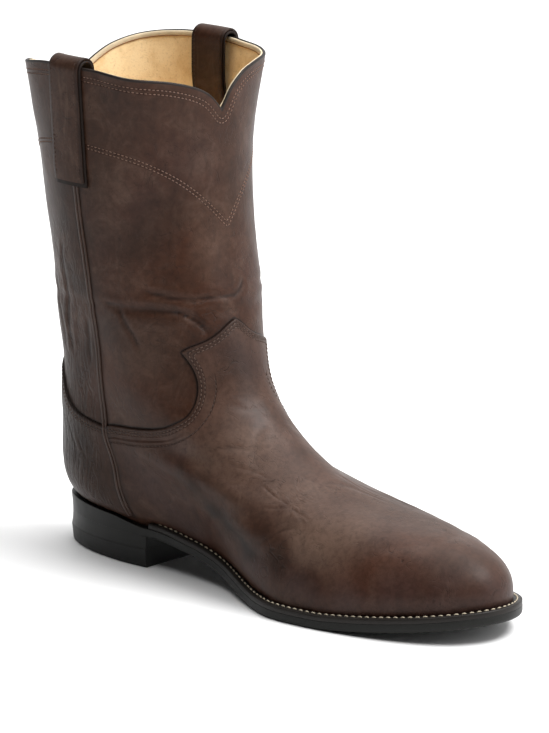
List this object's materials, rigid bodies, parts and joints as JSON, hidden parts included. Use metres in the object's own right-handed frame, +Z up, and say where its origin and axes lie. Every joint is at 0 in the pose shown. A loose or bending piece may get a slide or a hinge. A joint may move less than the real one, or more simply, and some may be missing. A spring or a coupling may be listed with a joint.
{
  "type": "roper boot",
  "caption": "Left pull-on roper boot: leather shaft with scalloped collar and side pull straps, round toe, stitched welt, low heel",
  "frame": {"origin": "centre of the bounding box in X and Y, on the floor under the heel and the ball of the sole", "axes": "+Z up out of the collar, toe toward -Y, heel toward +Y, +X to the wearer's left, which is the outer side of this left boot"},
  "size_m": [0.1166, 0.3146, 0.2702],
  "materials": {
    "sole_rubber": "black satin sole edge",
    "welt_leather": "black dyed strip with pale stitches",
    "heel_stack": "black satin heel block",
    "lift_rubber": "black rubber walking layer",
    "lining": "tan rough lining leather",
    "upper_leather": "dark brown burnished smooth leather, satin, softly creased",
    "strap_leather": "dark brown folded leather with dark edges"
  },
  "bodies": {
    "root": {"outsole": "sole_rubber", "welt": "welt_leather", "heel_base": "heel_stack", "top_lift": "lift_rubber", "insole": "lining", "upper": "upper_leather", "pull_strap_inner": "strap_leather", "pull_strap_outer": "strap_leather"}
  },
  "joints": []
}
